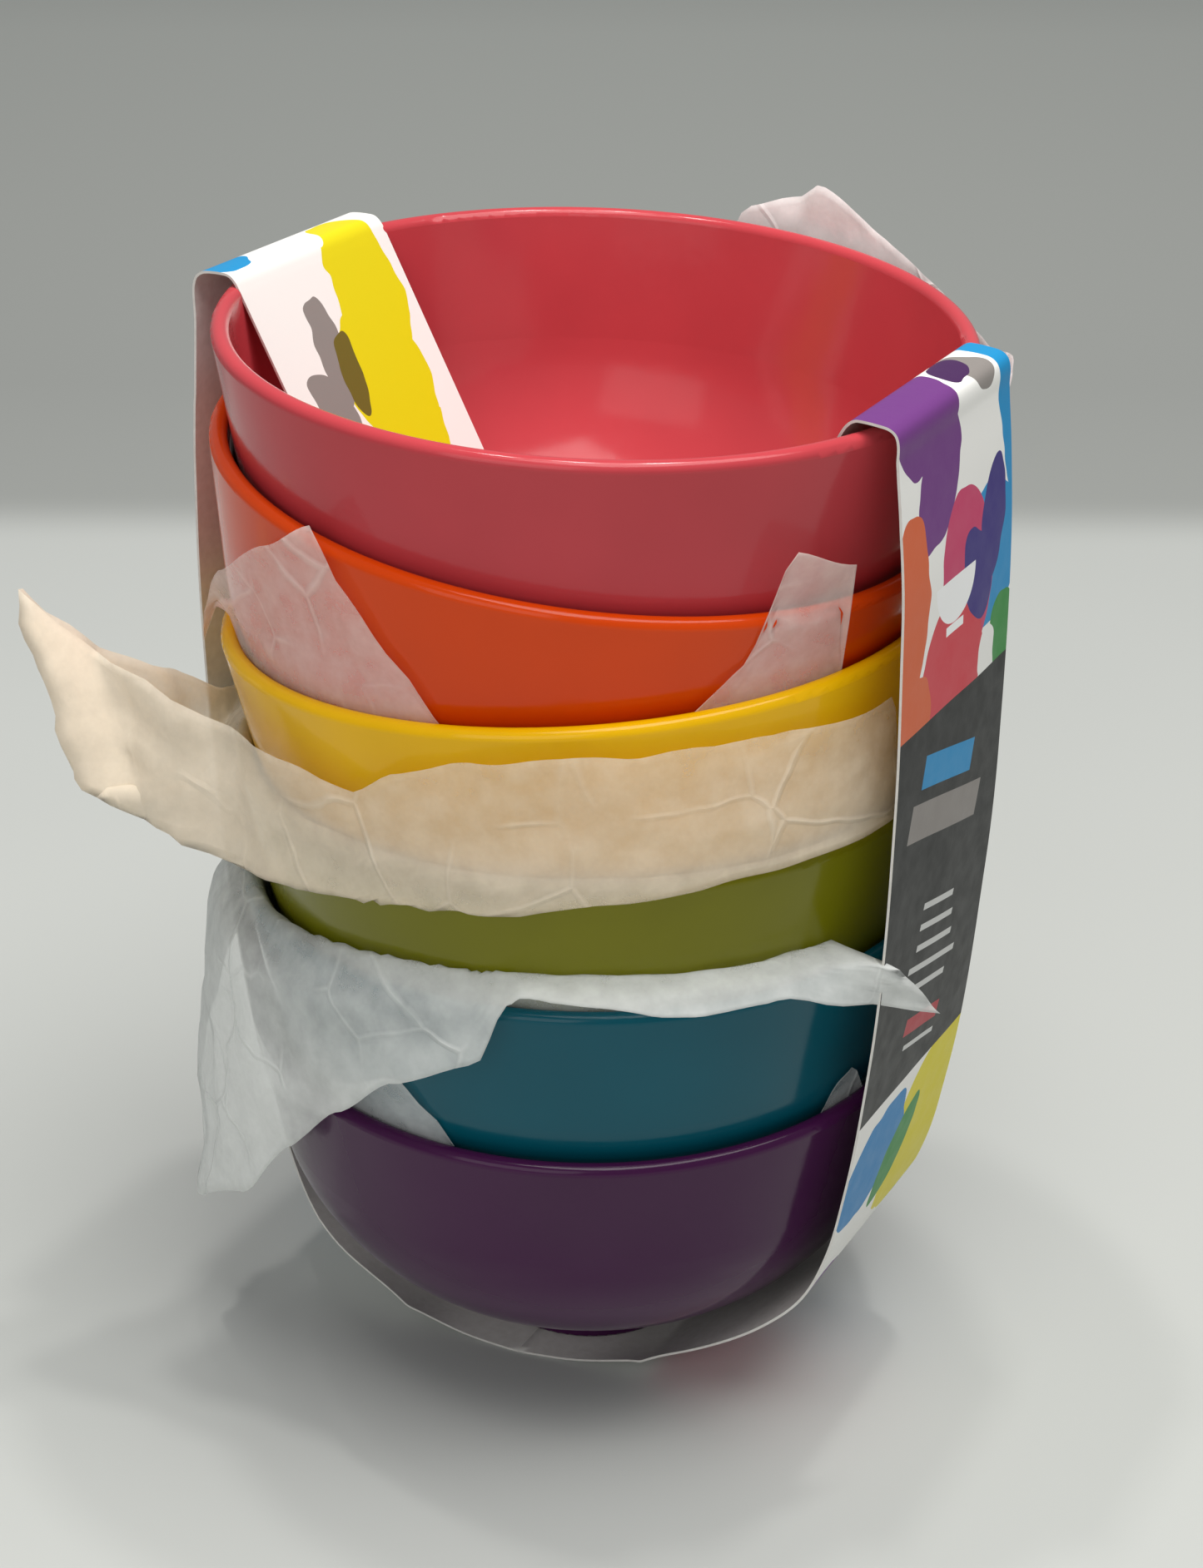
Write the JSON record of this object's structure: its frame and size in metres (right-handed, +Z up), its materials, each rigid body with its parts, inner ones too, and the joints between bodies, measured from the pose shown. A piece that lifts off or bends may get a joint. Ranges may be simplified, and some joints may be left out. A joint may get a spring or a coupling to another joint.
{
  "type": "nested bowl set",
  "caption": "Nested set of small round moulded bowls with tissue sheets between them, held by a printed paperboard sleeve whose end flaps fold over the top rim.",
  "frame": {"origin": "middle of the sleeve's flat underside, on the axis of the stack", "axes": "+Z up along the stack, +X towards the sleeve's label side, Y across the sleeve"},
  "size_m": [0.1559, 0.1247, 0.1878],
  "materials": {
    "pink_melamine": "glossy moulded melamine",
    "orange_melamine": "glossy moulded melamine",
    "yellow_melamine": "glossy moulded melamine",
    "green_melamine": "glossy moulded melamine",
    "teal_melamine": "glossy moulded melamine",
    "purple_melamine": "glossy moulded melamine",
    "printed_board": "coated board, printed outside, plain white inside",
    "tissue_paper": "thin matt tissue paper"
  },
  "bodies": {
    "sleeve": {"paper_sleeve": "printed_board"},
    "purple": {"purple_bowl": "purple_melamine", "tissue_in_purple": "tissue_paper"},
    "teal": {"teal_bowl": "teal_melamine", "tissue_in_teal": "tissue_paper"},
    "green": {"green_bowl": "green_melamine", "tissue_in_green": "tissue_paper"},
    "yellow": {"yellow_bowl": "yellow_melamine", "tissue_in_yellow": "tissue_paper"},
    "orange": {"orange_bowl": "orange_melamine", "tissue_in_orange": "tissue_paper"},
    "pink": {"pink_bowl": "pink_melamine"},
    "label_flap": {"sleeve_flap_label": "printed_board"},
    "back_flap": {"sleeve_flap_back": "printed_board"}
  },
  "joints": [
    {"name": "pink_bowl_lift", "type": "slide", "parent": "sleeve", "child": "pink", "axis": [0, 0, 1], "range_m": [0, 0.19], "deforming": ["sleeve_flap_label", "sleeve_flap_back"]},
    {"name": "orange_bowl_lift", "type": "slide", "parent": "sleeve", "child": "orange", "axis": [0, 0, 1], "range_m": [0, 0.155]},
    {"name": "yellow_bowl_lift", "type": "slide", "parent": "sleeve", "child": "yellow", "axis": [0, 0, 1], "range_m": [0, 0.12]},
    {"name": "green_bowl_lift", "type": "slide", "parent": "sleeve", "child": "green", "axis": [0, 0, 1], "range_m": [0, 0.085]},
    {"name": "teal_bowl_lift", "type": "slide", "parent": "sleeve", "child": "teal", "axis": [0, 0, 1], "range_m": [0, 0.05]},
    {"name": "purple_bowl_lift", "type": "slide", "parent": "sleeve", "child": "purple", "axis": [0, 0, 1], "range_m": [0, 0.015]},
    {"name": "label_flap_hinge", "type": "hinge", "parent": "sleeve", "child": "label_flap", "pos_m": [0.0589, 0, 0.1747], "axis": [0, 1, 0], "range_deg": [0, 150]},
    {"name": "back_flap_hinge", "type": "hinge", "parent": "sleeve", "child": "back_flap", "pos_m": [-0.0589, 0, 0.1794], "axis": [0, -1, 0], "range_deg": [0, 150]}
  ],
  "couplings": [
    {"joint": "orange_bowl_lift", "follows": "pink_bowl_lift", "ratio": 0.81578},
    {"joint": "yellow_bowl_lift", "follows": "pink_bowl_lift", "ratio": 0.63157},
    {"joint": "green_bowl_lift", "follows": "pink_bowl_lift", "ratio": 0.44736},
    {"joint": "teal_bowl_lift", "follows": "pink_bowl_lift", "ratio": 0.26315},
    {"joint": "purple_bowl_lift", "follows": "pink_bowl_lift", "ratio": 0.07894},
    {"joint": "label_flap_hinge", "follows": "pink_bowl_lift", "rad_per_m": 13.77},
    {"joint": "back_flap_hinge", "follows": "pink_bowl_lift", "rad_per_m": 13.77}
  ]
}
